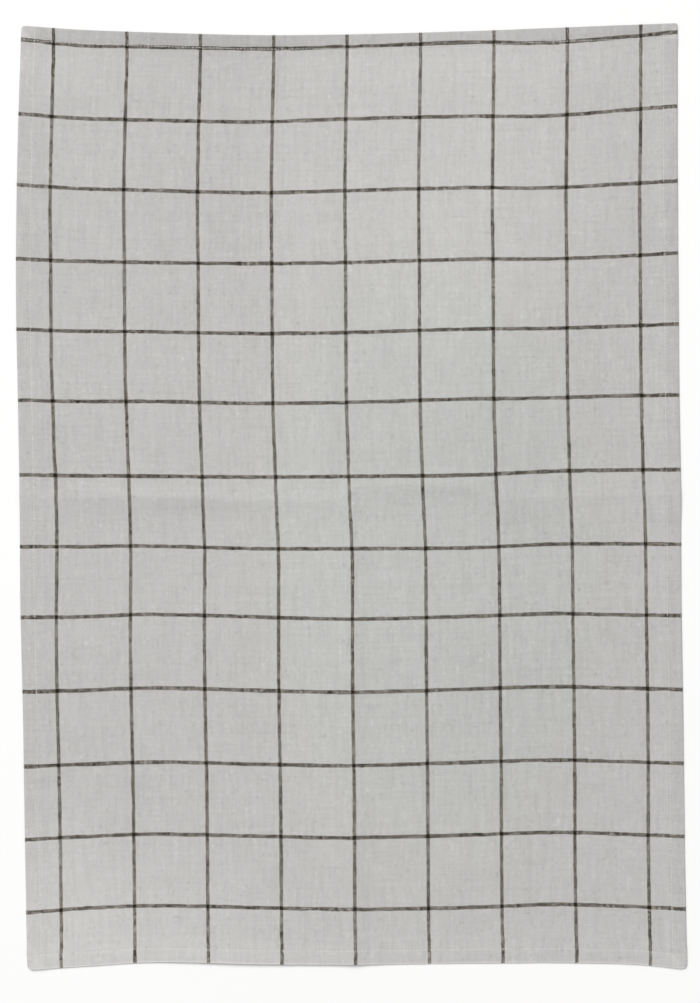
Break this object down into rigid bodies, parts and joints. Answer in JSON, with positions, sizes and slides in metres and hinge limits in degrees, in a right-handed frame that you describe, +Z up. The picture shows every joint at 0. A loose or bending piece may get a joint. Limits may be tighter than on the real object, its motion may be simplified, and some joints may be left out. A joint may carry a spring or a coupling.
{
  "type": "tea towel",
  "caption": "Woven tea towel with a windowpane check and a narrow stitched hem all round, laid out flat with the soft creases of a cloth that was folded in four.",
  "frame": {"origin": "middle of the towel's box, on the surface that it lies on", "axes": "+X across the towel's width, +Y along its length towards the end with the check line close to its hem, +Z up, out of its face"},
  "size_m": [0.5064, 0.7144, 0.0038],
  "materials": {
    "cloth": "matt plain weave with slubs, light warm grey with a thin grey-brown check"
  },
  "bodies": {
    "root": {"towel": "cloth"}
  },
  "joints": []
}
